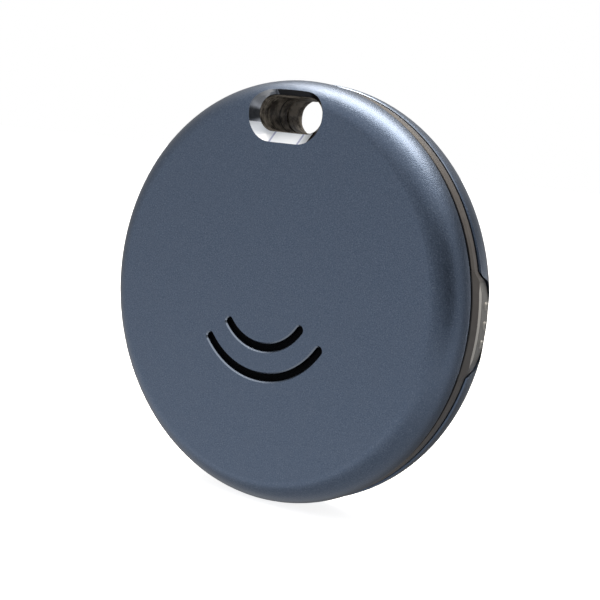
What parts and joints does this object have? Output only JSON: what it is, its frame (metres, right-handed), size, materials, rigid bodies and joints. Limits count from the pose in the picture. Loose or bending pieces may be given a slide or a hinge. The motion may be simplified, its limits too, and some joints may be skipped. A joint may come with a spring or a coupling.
{
  "type": "bluetooth tracker tag",
  "caption": "Coin-shaped key finder tag: two anodised metal shells over a smoky plastic frame, keyring slot, sprung side button, clip-off rear cover and coin cell.",
  "frame": {"origin": "centre of the disc, midway between its faces", "axes": "+Y along the disc axis towards the rear cover, +Z towards the keyring slot, +X towards the side button"},
  "size_m": [0.031, 0.0066, 0.031],
  "materials": {
    "anodised_shell": "bead-blasted slate-blue anodised, polished cut edges",
    "smoky_plastic": "satin smoky grey-brown, slightly translucent",
    "adhesive_film": "thin pressure-sensitive film",
    "black_mesh": "fine woven acoustic mesh",
    "buzzer_brass": "rolled brass sheet",
    "buzzer_ceramic": "silvered piezo ceramic",
    "board_laminate": "dark green solder mask",
    "black_resin": "moulded epoxy",
    "plated_steel": "nickel-plated",
    "contact_metal": "gold-flashed spring bronze",
    "ceramic_body": "sintered ceramic with tinned ends",
    "black_moulding": "fine moulded texture",
    "cell_gasket": "nylon grommet",
    "cell_filling": "electrode stack",
    "insulator": "polyester film",
    "switch_button": "white moulded plastic"
  },
  "bodies": {
    "case": {"front_shell": "anodised_shell", "front_adhesive": "adhesive_film", "sound_mesh": "black_mesh", "middle_frame": "smoky_plastic", "buzzer_plate": "buzzer_brass", "buzzer_ceramic": "buzzer_ceramic", "buzzer_contacts": "contact_metal", "circuit_board": "board_laminate", "board_screws": "plated_steel", "radio_chip": "black_resin", "clock_crystal": "plated_steel", "chip_antenna": "ceramic_body", "reservoir_capacitor": "ceramic_body", "boost_coil": "black_resin", "buzzer_driver": "black_resin", "small_passives": "ceramic_body", "battery_holder": "black_moulding", "positive_contact": "contact_metal", "negative_contact": "contact_metal", "switch_body": "black_moulding", "switch_cover": "plated_steel"},
    "button": {"side_button": "smoky_plastic"},
    "plunger": {"switch_plunger": "switch_button"},
    "cover": {"rear_shell": "anodised_shell", "rear_adhesive": "adhesive_film", "rear_tray": "smoky_plastic", "insulator_film": "insulator"},
    "cell": {"cell_can": "plated_steel", "cell_seal": "cell_gasket", "cell_cap": "plated_steel", "cell_core": "cell_filling"}
  },
  "joints": [
    {"name": "button_press", "type": "slide", "parent": "case", "child": "button", "axis": [-1, 0, 0], "range_m": [0, 0.00025], "stiffness_N_per_m": 2400, "springref_m": -0.0003},
    {"name": "switch_press", "type": "slide", "parent": "case", "child": "plunger", "axis": [-1, 0, 0], "range_m": [0, 0.00025]},
    {"name": "cover_release", "type": "slide", "parent": "case", "child": "cover", "axis": [0, 1, 0], "range_m": [0, 0.012]},
    {"name": "cell_lift", "type": "slide", "parent": "case", "child": "cell", "axis": [0, 1, 0], "range_m": [0, 0.006]}
  ],
  "couplings": [
    {"joint": "switch_press", "follows": "button_press", "ratio": 1},
    {"joint": "cell_lift", "follows": "cover_release", "ratio": 0.5}
  ]
}
